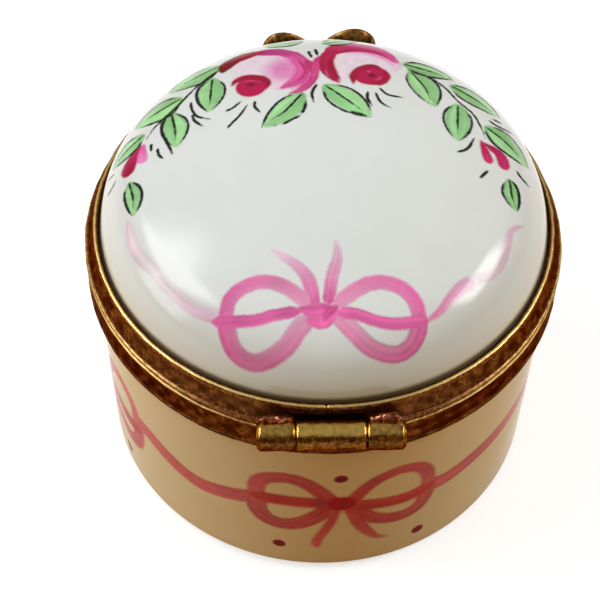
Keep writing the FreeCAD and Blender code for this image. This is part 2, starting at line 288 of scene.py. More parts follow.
def turned(outline, columns, closed=False):
    """Points and faces of a body turned about Z. An outline point on the axis becomes a pole."""
    angle = np.arange(columns) * 2 * math.pi / columns
    points, index, total = [], [], 0
    for radius, height in outline:
        if radius < 1e-6:
            points.append([[0, 0, height]])
            index.append(np.full(columns, total))
            total += 1
            continue
        ring = [radius * np.cos(angle), radius * np.sin(angle), np.full(columns, height)]
        points.append(np.stack(ring, 1))
        index.append(total + np.arange(columns))
        total += columns
    faces = []
    follow = index[1:] + index[:1] if closed else index[1:]
    for low, high in zip(index, follow):
        corner = [low, np.roll(low, -1), np.roll(high, -1), high]
        if low[0] == low[1]:
            corner = corner[1:]
        elif high[0] == high[1]:
            corner = corner[:3]
        faces += np.stack(corner, 1).tolist()
    return np.vstack(points), faces


def on_hinge(points):
    """Lays a body turned about Z along the hinge axis instead."""
    return np.stack([points[:, 2], HINGE_Y + points[:, 0], HINGE_Z + points[:, 1]], 1)


def joined(*bodies):
    """Points and faces of several bodies as one mesh."""
    points, faces, total = [], [], 0
    for body_points, body_faces in bodies:
        points.append(body_points)
        faces += [[total + corner for corner in face] for face in body_faces]
        total += len(body_points)
    return np.vstack(points), faces


def placed(name, data):
    """A new object in the scene."""
    piece = bpy.data.objects.new(name, data)
    bpy.context.scene.collection.objects.link(piece)
    return piece


def make_piece(name, shape, body, slot, material, *nodes):
    """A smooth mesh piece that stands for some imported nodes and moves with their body."""
    points, faces = shape
    mesh = bpy.data.meshes.new(name)
    mesh.from_pydata((points * MM).tolist(), [], faces)
    mesh.shade_smooth()
    mesh.set_sharp_from_angle(angle=math.radians(SHARP_ANGLE))
    mesh.materials.append(material)
    piece = placed(name, mesh)
    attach(piece, body)
    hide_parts(*nodes)
    return piece


def keep_values(piece, name, values):
    """Keeps one number for each point of a piece, for its material to read."""
    attribute = piece.data.attributes.new(name, "FLOAT", "POINT")
    attribute.data.foreach_set("value", np.asarray(values, np.float32))


def keep_colours(piece, name, colours):
    """Keeps one colour for each point of a piece, for its material to read."""
    attribute = piece.data.attributes.new(name, "FLOAT_COLOR", "POINT")
    full = np.ones((len(colours), 4), np.float32)
    full[:, :3] = colours
    attribute.data.foreach_set("color", full.ravel())


def smooth_path(points):
    """A rounded path through given points, at even steps."""
    given = np.array(points, float)
    given = np.vstack([2 * given[0] - given[1], given, 2 * given[-1] - given[-2]])
    t = np.linspace(0, 1, 16, endpoint=False)[:, None]
    parts = []
    for before, start, end, after in zip(given, given[1:], given[2:], given[3:]):
        bend = 2 * before - 5 * start + 4 * end - after
        twist = 3 * start - before - 3 * end + after
        parts.append(start + ((end - before) * t + bend * t**2 + twist * t**3) / 2)
    path = np.vstack([*parts, given[-2:-1]])
    length = np.concatenate([[0], np.cumsum(np.linalg.norm(np.diff(path, axis=0), axis=1))])
    even = np.linspace(0, length[-1], max(3, int(length[-1] / PATH_STEP)))
    return np.stack([np.interp(even, length, path[:, k]) for k in (0, 1)], 1)


class Paint:
    """Brush strokes on a flat plan of a surface. Every layer keeps, at each point of the mesh, a
    colour and how deep inside a stroke the point lies."""

    LAYERS = ("wash", "brush", "ink")
    GRAIN = {"wash": 0.06, "brush": 0.0, "ink": 0.0}
    SEED = 5
    SIDE = 1.2  # how far to each side a stroke's streaks run, in half widths
    STREAKS, PULSE, POOLING, MOTTLE = 0.10, 0.06, 0.10, 0.04  # how much a stroke's tone varies

    def __init__(self, across, up, glaze, period=None):
        self.place = np.stack([across, up], 1)
        self.glaze = glaze
        self.period = period
        self.rng = np.random.default_rng(self.SEED)
        self.colour = {name: np.tile(glaze, (len(across), 1)) for name in self.LAYERS}
        self.depth = {name: np.full(len(across), -PAINT_REACH) for name in self.LAYERS}

    def beside(self, across):
        """The plan's points, each on the turn of the surface that is nearest to a place."""
        if not self.period:
            return self.place
        half = self.period / 2
        place = self.place.copy()
        place[:, 0] = across + (place[:, 0] - across + half) % self.period - half
        return place

    def stroke(self, layer, points, width, colours, ends=(0, 0), fade=(0, 0), lean=0, lens=False,
               feather=0):
        """One brush stroke. Its colour runs from the first of colours to the second, its ends
        taper over those shares of its length, fade thins the paint towards them, and lean thins it
        towards the stroke's left side, or its right side if negative. A lens swells like a leaf, and
        feather is how far its edge melts into the paint under it."""
        path = smooth_path(points)
        along = np.linspace(0, 1, len(path))
        half = width / 2 * (self.swell(along) if lens else self.taper(along, ends))
        place = self.beside(path[:, 0].mean())
        reach = width / 2 + PAINT_REACH
        within = (place > path.min(0) - reach) & (place < path.max(0) + reach)
        near = np.flatnonzero(within.all(1))
        offset = place[near][:, None, :] - path[None]
        inside = half - np.linalg.norm(offset, axis=2)
        nearest = inside.argmax(1)
        depth = inside[np.arange(len(near)), nearest]
        offset = offset[np.arange(len(near)), nearest]
        heading = np.gradient(path, axis=0)[nearest]
        heading /= np.linalg.norm(heading, axis=1, keepdims=True)
        side = heading[:, 0] * offset[:, 1] - heading[:, 1] * offset[:, 0]
        side = np.clip(side / np.maximum(half[nearest], 0.05), -self.SIDE, self.SIDE)
        self.lay(layer, near, depth, self.tone(along[nearest], side, colours, fade, lean), feather)

    @staticmethod
    def swell(along):
        """Share of a leaf's width at each step from its base, fullest before the middle."""
        return np.sin(math.pi * np.clip(along, 0, 1) ** 0.85) ** 0.75

    @staticmethod
    def taper(along, ends):
        """Share of a stroke's width at each step, drawn in towards its ends."""
        share = np.ones_like(along)
        for part, distance in zip(ends, (along, 1 - along)):
            if part:
                share *= np.clip(distance / part, 0.05, 1) ** 0.5
        return share

    def tone(self, along, side, colours, fade, lean):
        """Paint colour across a stroke, with brush streaks and a little pooling at its edges."""
        first, last = colours
        tone = first + (last - first) * along[:, None]
        streaks = np.interp(side, np.linspace(-self.SIDE, self.SIDE, 9), self.rng.normal(size=9))
        pulse = np.interp(along, np.linspace(0, 1, 7), self.rng.normal(size=7))
        uneven = self.STREAKS * streaks + self.PULSE * pulse - self.POOLING * side**4
        tone = tone * (1 + uneven)[:, None]
        thin = fade[0] * (1 - along) ** 2 + fade[1] * along**2
        thin = thin + abs(lean) * np.clip(0.5 + 0.5 * np.sign(lean) * side, 0, 1) ** 2
        return tone + (self.glaze - tone) * np.clip(thin, 0, 0.9)[:, None]

    def lay(self, layer, near, depth, tone, feather):
        """Lays paint over what its layer holds, and keeps the nearest stroke's colour outside."""
        take = (depth > 0) | (depth > self.depth[layer][near])
        chosen = near[take]
        share = np.ones(len(chosen))
        if feather:
            share = np.where(self.depth[layer][chosen] > 0, eased(depth[take], 0, feather), 1)
        under = self.colour[layer][chosen]
        self.colour[layer][chosen] = under + (np.clip(tone[take], 0, 1) - under) * share[:, None]
        self.depth[layer][chosen] = np.maximum(self.depth[layer][chosen], depth[take])

    def blob(self, layer, centre, radii, tilt, colours, feather=0):
        """An oval dab of paint, from its middle colour to its edge colour."""
        offset = self.beside(centre[0]) - centre
        near = np.flatnonzero(np.linalg.norm(offset, axis=1) < max(radii) + PAINT_REACH)
        angle = math.radians(tilt)
        turn = np.array([[math.cos(angle), math.sin(angle)], [-math.sin(angle), math.cos(angle)]])
        offset = offset[near] @ turn.T
        size = np.linalg.norm(offset / radii, axis=1)
        share = np.clip(size, 0, 1)[:, None] ** 2
        mottle = ripple(offset, 1.3, int(1000 + 10 * abs(centre[0])))
        tone = (colours[0] + (colours[1] - colours[0]) * share) * (1 + self.MOTTLE * mottle)[:, None]
        self.lay(layer, near, (1 - size) * min(radii), tone, feather)

    def strokes(self, layer, ends, feather, rows):
        """Strokes of one kind: points, width, and the colours that each runs between."""
        for points, width, first, last in rows:
            self.stroke(layer, points, width, (first, last), ends=ends, feather=feather)

    def ink(self, points, width=0.31, ends=(0.12, 0.3)):
        """A dark line with drawn-out ends."""
        self.stroke("ink", points, width, (INK, INK), ends=ends)

    def leaf(self, base, tip, width, bend):
        """A leaf: a pale lens with a darker half, a midrib and a broken ink outline. Bend is how far
        its spine bows to the left, as a share of its length."""
        base, tip = np.array(base, float), np.array(tip, float)
        axis = tip - base
        normal = np.array([-axis[1], axis[0]]) / np.linalg.norm(axis)
        bow = normal * bend * np.linalg.norm(axis)
        spine = [base, (base + tip) / 2 + bow, tip]
        self.stroke("wash", spine, 0.92 * width, (LEAF_SHADE, LEAF), lens=True)
        shift = 0.2 * width * self.rng.choice([-1, 1])
        lit_half = [place + normal * shift * share for place, share in zip(spine, (0, 1, 0))]
        self.stroke("wash", lit_half, 0.56 * width, (LEAF, LEAF * 1.05), lens=True, feather=0.3)
        self.ink([base, (base + tip) / 2 + 0.8 * bow, base + 0.82 * axis], 0.27, (0.1, 0.4))
        for edge in (-1, 1):
            start, end = self.rng.uniform(0.02, 0.12), self.rng.uniform(0.9, 1.04)
            outline = []
            for share in np.linspace(start, end, 6):
                middle = base + axis * share + bow * math.sin(math.pi * share)
                outline.append(middle + normal * edge * (0.5 * width * self.swell(share) + 0.06))
            self.ink(outline, self.rng.uniform(0.26, 0.38), (0.15, 0.25))

    def keep(self, piece):
        """Keeps every layer on the painted piece."""
        for layer in self.LAYERS:
            keep_colours(piece, layer, self.colour[layer])
            keep_values(piece, layer + "_depth", self.depth[layer])


class Nodes:
    """Short calls for building a node tree."""

    def __init__(self, tree):
        self.tree = tree

    def feed(self, socket, value):
        """Links an output to a socket, or sets the socket to a constant."""
        if isinstance(value, bpy.types.NodeSocket):
            self.tree.links.new(value, socket)
        else:
            socket.default_value = value

    def outputs(self, kind, values=None, **settings):
        """A new node's outputs, with values fed to its sockets by name or number."""
        node = self.tree.nodes.new(kind)
        for name, value in settings.items():
            setattr(node, name, value)
        for name, value in (values or {}).items():
            self.feed(node.inputs[name], value)
        return node.outputs

    def split(self, vector):
        """A vector's three numbers, by the names X, Y and Z."""
        return self.outputs("ShaderNodeSeparateXYZ", {0: vector})

    def spread(self, value, low, high, to_low=0.0, to_high=1.0):
        """A value's range from low to high, eased onto another range."""
        values = dict(enumerate((value, low, high, to_low, to_high)))
        return self.outputs("ShaderNodeMapRange", values, interpolation_type="SMOOTHSTEP")[0]

    def math(self, operation, first, second):
        return self.outputs("ShaderNodeMath", {0: first, 1: second}, operation=operation)[0]

    def mix(self, share, first, second):
        return self.outputs("ShaderNodeMix", {0: share, 6: first, 7: second}, data_type="RGBA")[2]


class Finish(Nodes):
    """A material, with calls for the patterns that its shader reads."""

    def __init__(self, name):
        self.material = bpy.data.materials.new(name)
        self.material.use_nodes = True
        super().__init__(self.material.node_tree)
        self.shader = self.tree.nodes["Principled BSDF"]
        self.object_place = self.outputs("ShaderNodeTexCoord")["Object"]

    def set(self, **values):
        """Feeds the shader's sockets, named with _ for each space."""
        for name, value in values.items():
            self.feed(self.shader.inputs[name.replace("_", " ")], value)

    def height(self):
        """Height above the object's origin, in metres."""
        return self.split(self.object_place)["Z"]

    def noise(self, size, detail=3.0, roughness=0.55):
        """A noise whose blotches are about that many millimetres across."""
        values = {"Vector": self.object_place, "Scale": 1 / (size * MM), "Detail": detail}
        return self.outputs("ShaderNodeTexNoise", {**values, "Roughness": roughness})["Fac"]

    def attribute(self, name):
        """Outputs that read what a piece keeps at its points."""
        return self.outputs("ShaderNodeAttribute", attribute_name=name)

    def bump(self, height, distance, strength):
        """Roughens the shader's surface by a pattern, over a distance in millimetres."""
        values = {"Strength": strength, "Distance": distance * MM, "Height": height}
        self.set(Normal=self.outputs("ShaderNodeBump", values)["Normal"])


def porcelain(name, glaze, softness, warm_line, stain_and_shade_line, polish):
    """White glazed porcelain with the painted layers over its glaze colour. Softness is how far, in
    millimetres, the edges of each layer's paint spread. Below the warm line the glaze carries a painted
    warm reflection, and from the start of the stain-and-shade line to its end it is darkened by a stain
    and painted shade."""
    g = Finish(name)
    cloud = g.noise(6.0)
    colour = g.mix(g.spread(cloud, 0.3, 0.7), rgba(glaze * 0.97), rgba(glaze))
    # Painted warm reflection near the lid's rim and the cup's foot
    low, high = np.array(warm_line) * MM
    colour = g.mix(g.spread(g.height(), low, high, 1.0, 0.0), colour, rgba(glaze * WARM_REFLECTION))
    wobble = g.math("MULTIPLY", g.math("SUBTRACT", g.noise(0.45, 2.0), 0.5), 0.16)
    grain = g.spread(g.noise(0.6, 4.0), 0.35, 0.75)
    for layer, soft in zip(Paint.LAYERS, softness):
        depth = g.math("ADD", g.attribute(layer + "_depth")["Fac"], wobble)
        thinned = g.math("MULTIPLY", grain, Paint.GRAIN[layer])
        paint = g.mix(thinned, g.attribute(layer)["Color"], rgba(glaze))
        colour = g.mix(g.spread(depth, -soft, soft), colour, paint)
    # Stain along a brass band, with painted shade beside it
    start, end = np.array(stain_and_shade_line) * MM
    colour = g.mix(g.spread(g.height(), start, end, 0.95, 0.0), colour, rgba(glaze * JOINT_STAIN_AND_SHADE))
    g.set(Base_Color=colour, Roughness=g.spread(cloud, 0.2, 0.8, 0.09, 0.14), IOR=1.45)
    g.set(Specular_IOR_Level=polish)
    g.bump(g.noise(2.5, 1.0), 0.05, 0.05)
    return g.material


def brass(name, dark, middle, bright, dullness, wear_and_light=None):
    """Antique brass: mottled brown patina, rubbed bright where a piece says so or in soft patches, and
    grimy where that share is below nought. A piece's share also carries painted light and painted
    shade."""
    g = Finish(name)
    mottle = g.noise(0.36, 5.0)
    fine = g.noise(0.2, 3.0)
    patina = g.mix(g.spread(mottle, 0.36, 0.66), rgba(dark), rgba(middle))
    patina = g.mix(g.spread(fine, 0.60, 0.72, 0.0, 0.5), patina, rgba(bright * 0.7))
    if wear_and_light:
        share = g.attribute(wear_and_light)["Fac"]
    else:
        share = g.spread(g.noise(2.0, 2.0), 0.3, 0.8, 0.2, 0.7)
    patchy = g.math("MULTIPLY", g.math("SUBTRACT", g.noise(0.45, 4.0), 0.5), 0.7)
    # Grime, and painted shade where a piece's share says so
    patina = g.mix(g.spread(share, -0.8, 0.0), rgba(dark * GRIME_AND_SHADE_DARKNESS), patina)
    worn = g.spread(g.math("ADD", share, patchy), 0.25, 0.95)
    g.set(Base_Color=g.mix(worn, patina, rgba(bright)), Metallic=1.0, Specular_Tint=rgba(BRASS_EDGE))
    dull = g.spread(mottle, 0.3, 0.7, *dullness)
    g.set(Roughness=g.math("SUBTRACT", dull, g.math("MULTIPLY", worn, 0.14)))
    g.bump(fine, 0.06, 0.3)
    return g.material


def solder():
    """Coppery brazing solder, lumpy and scaled."""
    g = Finish("coppery_solder")
    mottle = g.noise(0.6, 4.0)
    colour = g.mix(g.spread(mottle, 0.35, 0.72), rgba(SOLDER_DARK), rgba(SOLDER_BRIGHT))
    g.set(Base_Color=colour, Metallic=1.0, Roughness=g.spread(mottle, 0.3, 0.7, 0.42, 0.28))
    g.bump(g.noise(0.5, 2.0), 0.06, 0.4)
    return g.material


def cement():
    """Matt bedding cement."""
    g = Finish("bedding_cement")
    grain = g.noise(0.25, 4.0)
    colour = g.mix(grain, rgba(CEMENT_DARK), rgba(CEMENT_PALE))
    g.set(Base_Color=colour, Roughness=g.spread(grain, 0.3, 0.7, 0.8, 0.95))
    g.bump(grain, 0.05, 0.5)
    return g.material


def dome_outline(lengths, inset=0.0):
    """Radius and height on the dome at lengths along it from its top, or inside it by an inset."""
    lengths = np.asarray(lengths, float)
    on_crown = lengths < CROWN_LENGTH
    on_shoulder = np.minimum(CROWN_TILT + (lengths - CROWN_LENGTH) / DOME_SHOULDER, math.pi / 2)
    tilt = np.where(on_crown, lengths / CROWN, on_shoulder)
    bend = np.where(on_crown, CROWN, DOME_SHOULDER) - inset
    radius = np.where(on_crown, 0, SHOULDER_CENTRE) + bend * np.sin(tilt)
    height = np.where(on_crown, DOME_TOP - CROWN, SPRING_HEIGHT) + bend * np.cos(tilt)
    height -= np.maximum(lengths - CROWN_LENGTH - SHOULDER_LENGTH, 0)
    return np.stack([np.where(lengths > 0, radius, 0), height], 1)


def lid_porcelain(material):
    """The domed lid, painted on its outside."""
    paint_start, paint_end = 6.0, 23.6
    outside = np.concatenate([
        np.linspace(0, paint_start, 13),
        np.arange(paint_start + PAINT_STEP, paint_end, PAINT_STEP),
        np.linspace(paint_end, DOME_LENGTH, 10),
    ])
    inside = np.concatenate([
        np.linspace(DOME_LENGTH, CROWN_LENGTH, 11),
        np.linspace(CROWN_LENGTH, 0, 7)[1:],
    ])
    outline = np.vstack([dome_outline(outside), dome_outline(inside, DOME_WALL)])
    points, faces = turned(outline[::-1], DOME_COLUMNS)
    piece = make_piece("lid_porcelain", (points, faces), "lid", "porcelain", material, "lid_dome")
    lengths = np.append(np.repeat(outside[:0:-1], DOME_COLUMNS), 0)
    unpainted = 99.0
    away = np.full(len(points), unpainted)
    away[-len(lengths):] = lengths
    angle = np.arctan2(points[:, 1], points[:, 0])
    paint = Paint(-away * np.cos(angle), -away * np.sin(angle), GLAZE)
    lid_ribbon(paint)
    garland(paint)
    paint.keep(piece)


def lid_ribbon(paint):
    """The orchid ribbon bow near the hinge, with its tails and trailing ends."""
    left_end = [(-14.6, -11.7), (-15.6, -10.3), (-16.7, -9.0), (-17.6, -7.5), (-18.0, -5.8),
                (-18.1, -4.4)]
    left_trail = [(-9.2, -15.9), (-11.4, -14.9), (-12.9, -13.7), (-14.2, -12.2), (-15.3, -10.8)]
    right_end = [(12.1, -12.6), (13.3, -11.9), (14.5, -11.2), (15.5, -10.0), (16.1, -8.2),
                 (16.7, -6.4), (18.0, -5.5)]
    right_trail = [(8.3, -16.5), (9.6, -15.4), (10.7, -14.0), (11.7, -12.9), (12.9, -12.2)]
    # Painted highlight: the trails pale almost to the glaze where the lamps' glare crosses them
    trails = [
        (left_end, 1.2, (ORCHID_UNDER_GLARE, ORCHID_FAINT_UNDER_GLARE), (0.1, 0.3), -0.5, 0),
        (left_trail, 1.3, (ORCHID_PALE, ORCHID_UNDER_GLARE), (0, 0.1), -0.7, 0.4),
        (right_end, 0.95, (ORCHID_UNDER_GLARE, ORCHID_PALE * 0.94), (0.05, 0.4), 0.3, 0),
        (right_trail, 1.2, (ORCHID, ORCHID_PALE), (0.8, 0.1), -0.2, 0.3),
    ]
    for points, width, colours, ends, lean, feather in trails:
        paint.stroke("wash", points, width, colours, ends=ends, lean=lean, feather=feather)
    tails = [
        ([(-1.5, -14.8), (-1.8, -13), (-2.8, -11.5), (-4.9, -9.9)], 1.25, 0.7, 0.4),
        ([(-0.1, -14.6), (0.2, -12.6), (0.7, -10.8), (0.6, -9.2)], 1.1, 0.5, 0.3),
    ]
    for points, width, taper, fade in tails:
        paint.stroke("wash", points, width, (ORCHID, ORCHID_PALE), ends=(0, taper), fade=(0, fade))
    left_upper = [(-1.9, -15.1), (-3.3, -13.85), (-4.6, -13.1), (-6.0, -12.85), (-7.5, -13.25),
                  (-8.6, -14.1), (-9.0, -15.2), (-9.1, -16.4)]
    left_lower = [(-1.9, -16.4), (-2.9, -17.4), (-3.8, -18.6), (-5.1, -19.5), (-6.6, -20.0),
                  (-7.9, -19.6), (-8.8, -18.5), (-9.1, -17.0), (-9.1, -16.2)]
    right_upper = [(0.5, -15.2), (1.9, -14.1), (3.4, -13.25), (4.85, -13.1), (6.3, -13.6),
                   (7.3, -14.65), (7.7, -15.85), (7.75, -16.7)]
    right_lower = [(0.6, -16.2), (1.6, -17.2), (2.5, -18.1), (3.5, -18.9), (5.0, -19.4),
                   (6.2, -19.3), (7.2, -18.5), (7.7, -17.3), (7.75, -16.4)]
    loops = [
        (left_upper, 1.35, 0.12),
        (left_lower, 1.75, -0.2),
        (right_upper, 1.4, -0.12),
        (right_lower, 1.6, 0.2),
    ]
    for points, width, lean in loops:
        paint.stroke("wash", points, width, (ORCHID, ORCHID), ends=(0.06, 0), fade=(0.25, 0),
                     lean=lean)
    left_strand = [(-10.4, -16.0), (-8.4, -16.2), (-6.6, -16.3), (-4.8, -15.95), (-2.6, -15.7)]
    right_strand = [(0.5, -15.9), (2.1, -16.0), (3.5, -16.5), (5.1, -16.8), (6.9, -16.6), (8.4, -16.3)]
    for points in (left_strand, right_strand):
        paint.stroke("brush", points, 1.1, (ORCHID, ORCHID), ends=(0.1, 0.1))
    paint.strokes("brush", (0.4, 0.4), 0.3, [
        ([(-2.7, -15.5), (-1.6, -15.7), (-0.5, -15.6), (0.7, -15.8)], 1.3, ORCHID, ORCHID),
        ([(-2.0, -16.5), (-1.2, -16.7), (-0.4, -16.6), (0.4, -16.1)], 1.3, ORCHID, ORCHID),
        ([(0.6, -15.4), (-0.2, -15.9), (-0.6, -16.6)], 1.0, ORCHID_DEEP, ORCHID_DEEP),
    ])


def left_rose(paint):
    """The left rose: a pink shell of petals under a crimson crescent, round a crimson heart."""
    paint.blob("wash", (-5.2, 12.3), (3.3, 3.3), 0, (PETAL_PALE, PETAL_PALE))
    paint.blob("wash", (-3.6, 12.3), (2.8, 3.3), 0, (PETAL_DEEP, PETAL), 2.2)
    paint.strokes("wash", (0.3, 0.4), 0.4, [
        ([(-4.4, 15.5), (-2.9, 14.3), (-2.3, 12.4), (-2.7, 10.6), (-3.9, 9.3)], 1.7,
         PETAL_DEEP, PETAL_DEEP),
    ])
    paint.strokes("brush", (0.2, 0.4), 0.2, [
        ([(-6.3, 15.9), (-4.7, 15.7), (-3.2, 15.2), (-2.1, 14.4), (-1.5, 12.9)], 1.3,
         MAGENTA, PETAL_MID),
        ([(-2.8, 14.8), (-1.8, 13.3), (-1.6, 11.8), (-2.2, 10.4), (-3.8, 9.3)], 1.6,
         PETAL_MID, PETAL_MID),
        ([(-1.5, 13.9), (-1.0, 12.5), (-0.9, 11.2), (-1.3, 10.0), (-2.0, 8.9), (-3.0, 8.4)], 1.25,
         PETAL_ROSE, PETAL_MID),
        ([(-2.3, 14.1), (-1.75, 12.8), (-1.6, 11.6), (-2.1, 10.5), (-3.3, 9.7)], 0.45,
         PETAL_ROSE, PETAL_ROSE),
        ([(-1.15, 12.4), (-1.2, 11.0), (-1.8, 9.8), (-2.9, 8.9)], 0.3, PETAL_DEEP, PETAL_DEEP),
        ([(-6.4, 15.5), (-5.0, 15.25), (-3.6, 15.1)], 0.45, MAGENTA, MAGENTA),
        ([(-9.5, 12.9), (-9.1, 14.0), (-8.0, 15.1), (-6.5, 15.7), (-5.2, 15.8)], 1.5,
         CRIMSON_DARK, CRIMSON),
    ])
    paint.blob("brush", (-6.65, 9.9), (1.5, 1.6), 0, (CRIMSON_LIT, CRIMSON_LIT))
    paint.strokes("brush", (0.3, 0.35), 0.15, [
        ([(-8.5, 10.4), (-8.0, 11.1), (-6.9, 11.4), (-5.7, 11.0), (-5.1, 10.2), (-5.3, 9.3)], 1.0,
         CRIMSON, CRIMSON),
        ([(-7.9, 10.7), (-6.8, 10.85), (-5.8, 10.5), (-5.4, 9.9)], 0.3, PETAL_MID, PETAL_ROSE),
    ])
    paint.blob("brush", (-6.7, 10.2), (0.8, 0.45), 0, (CRIMSON_DARK, CRIMSON), 0.4)


def right_rose(paint):
    """The right rose: a crimson and pink shell of petals round a crimson heart."""
    paint.blob("wash", (3.9, 13.0), (3.2, 3.1), 0, (PETAL_PALE, PETAL_PALE))
    paint.strokes("wash", (0.3, 0.4), 0.5, [
        ([(1.6, 15.2), (3.4, 15.6), (5.2, 15.2), (6.6, 14.0), (7.1, 12.7)], 1.5, PETAL_DEEP, PETAL),
        ([(7.3, 14.4), (7.3, 13.4), (6.9, 12.3)], 0.9, PETAL, PETAL_PALE),
    ])
    paint.strokes("brush", (0.2, 0.4), 0.2, [
        ([(0.5, 15.2), (1.3, 15.9), (2.6, 16.4), (4.1, 16.5), (5.5, 16.0), (6.6, 15.0), (7.3, 14.0)],
         1.8, CRIMSON_LIT, PETAL_MID),
        ([(1.1, 14.6), (1.7, 15.2), (2.8, 15.7), (4.1, 15.8), (5.4, 15.5), (6.4, 14.8), (7.0, 13.9)],
         0.7, CRIMSON, PETAL_ROSE),
        ([(-0.1, 14.5), (-0.4, 13.2), (-0.6, 11.9), (-0.85, 10.5)], 0.95, PETAL_ROSE, PETAL_MID),
        ([(1.6, 15.6), (0.8, 14.8), (0.45, 13.4), (0.55, 12.0), (0.95, 10.9), (1.5, 10.0)], 1.5,
         CRIMSON_LIT, CRIMSON_LIT),
        ([(0.85, 14.2), (0.9, 12.6), (1.2, 11.4), (1.7, 10.3)], 0.75, CRIMSON, CRIMSON),
        ([(0.25, 12.2), (0.55, 11.0), (1.0, 10.1)], 0.3, PETAL_DEEP, PETAL_MID),
    ])
    paint.blob("brush", (4.55, 11.4), (1.75, 1.65), 35, (CRIMSON_LIT, CRIMSON_LIT))
    paint.strokes("brush", (0.25, 0.35), 0.15, [
        ([(2.9, 9.8), (3.0, 11.2), (3.8, 12.4), (5.0, 12.9), (5.9, 12.2)], 0.85, CRIMSON, CRIMSON),
        ([(6.0, 12.4), (6.1, 11.1), (5.4, 10.1), (4.2, 10.0)], 0.75, CRIMSON, CRIMSON),
        ([(5.6, 11.3), (5.3, 10.7), (4.7, 10.5)], 0.35, PETAL_MID, PETAL_ROSE),
    ])
    paint.blob("brush", (4.7, 11.3), (0.65, 0.5), 35, (CRIMSON_DARK, CRIMSON), 0.4)
    paint.blob("brush", (4.5, 11.9), (0.26, 0.22), 0, (PETAL_MID, PETAL_ROSE), 0.15)


def garland(paint):
    """Two roses on the far side of the lid, with leaves, buds and stems down both sides."""
    stems = [
        [(-9.8, 13.4), (-11.8, 11.2), (-13.5, 8.8), (-14.5, 7.6), (-15.8, 6.1), (-16.7, 4.5)],
        [(8.2, 12.9), (10.5, 11.8), (11.8, 10.4), (12.7, 8.8), (14.0, 7.3), (14.6, 5.8), (15.0, 4.0)],
    ]
    for points in stems:
        paint.ink(points, 0.27, (0.1, 0.2))
    leaves = [
        ((-10.4, 12.0), (-10.6, 6.9), 2.6, 0.0), ((-14.2, 7.6), (-13.6, 2.8), 2.4, 0.03),
        ((-13.4, 9.6), (-18.2, 7.5), 2.9, 0.04), ((-9.9, 14.1), (-14.8, 11.5), 2.8, 0.0),
        ((-16.9, 5.5), (-20.8, 3.4), 2.3, 0.0), ((-1.9, 8.3), (-5.5, 3.9), 2.6, 0.06),
        ((0.2, 9.5), (4.3, 5.0), 2.8, 0.0), ((8.5, 12.6), (10.4, 7.3), 2.7, 0.06),
        ((12.7, 8.1), (12.2, 3.0), 2.6, 0.0), ((15.2, 5.6), (19.4, 1.9), 2.7, 0.03),
        ((12.3, 11.1), (17.1, 7.9), 2.4, 0.03), ((7.9, 13.8), (12.7, 12.4), 2.0, 0.0),
        ((-18.1, -0.2), (-17.5, -4.2), 1.7, 0.05), ((16.9, -0.7), (17.3, -4.2), 1.6, -0.05),
        ((-7.6, 17.6), (-11.4, 19.4), 2.0, 0.05), ((6.6, 17.8), (10.4, 19.4), 2.0, -0.05),
        ((-1.5, 18.0), (-5.4, 17.2), 1.7, 0.0), ((0.2, 17.0), (3.8, 18.6), 1.7, 0.0),
    ]
    for base, tip, width, bend in leaves:
        paint.leaf(base, tip, width, bend)
    paint.ink([(-9.9, 13.3), (-10.6, 12.4), (-11.6, 11.5)], 0.5, (0.4, 0.5))
    left_rose(paint)
    right_rose(paint)
    paint.strokes("brush", (0.7, 0.15), 0.15, [
        ([(-17.1, 4.0), (-18.0, 2.4), (-18.5, 1.0)], 1.65, PETAL_ROSE, CRIMSON),
        ([(-16.8, 4.1), (-16.9, 2.9), (-16.8, 1.9)], 1.15, PETAL_MID, PETAL_DEEP),
        ([(14.5, 3.5), (14.8, 2.2), (15.1, 0.9)], 1.0, CRIMSON_LIT, PETAL_ROSE),
        ([(14.7, 3.3), (16.2, 2.2), (16.6, 0.5)], 1.25, CRIMSON, PETAL_ROSE),
    ])
    ticks = [
        [(-12.4, 8.8), (-12.2, 7.5), (-11.6, 6.4), (-10.4, 5.8)],
        [(-12.2, 6.9), (-11.9, 5.9), (-11.1, 4.9)],
        [(-9.0, 6.6), (-8.3, 7.0), (-7.6, 7.8)], [(-8.9, 4.2), (-7.7, 5.8), (-7.0, 7.2)],
        [(-6.3, 7.6), (-6.3, 6.8), (-5.8, 5.9)], [(-16.0, 3.9), (-16.0, 2.9)],
        [(-15.4, 3.1), (-15.2, 2.2), (-14.7, 1.6)], [(-14.7, 4.0), (-14.2, 2.9), (-13.9, 1.9)],
        [(-21.5, 2.5), (-20.2, 2.3)], [(-21.3, 0.2), (-20.5, 0.5), (-19.8, 1.2)],
        [(5.3, 9.4), (6.0, 8.4), (7.5, 8.1)], [(4.9, 8.6), (5.3, 7.2), (6.2, 6.4)],
        [(4.2, 8.7), (4.1, 7.6), (4.5, 6.6)], [(2.4, 5.7), (3.9, 5.1)],
        [(12.0, 1.5), (13.1, 2.2), (13.9, 3.8)], [(14.0, -1.2), (14.9, -0.1)],
        [(17.8, 0.7), (18.3, 0.0), (19.3, -0.6)], [(15.6, 6.7), (16.6, 6.2), (18.6, 6.2)],
        [(16.1, 7.1), (17.1, 7.0)], [(-0.5, 9.7), (-1.0, 8.4), (-0.9, 6.9)],
    ]
    for points in ticks:
        paint.ink(points)
    for start, end in (((-1.2, 15.5), (-0.85, 14.2)), ((-0.5, 15.9), (-0.3, 14.6))):
        paint.ink([start, end], 0.36)


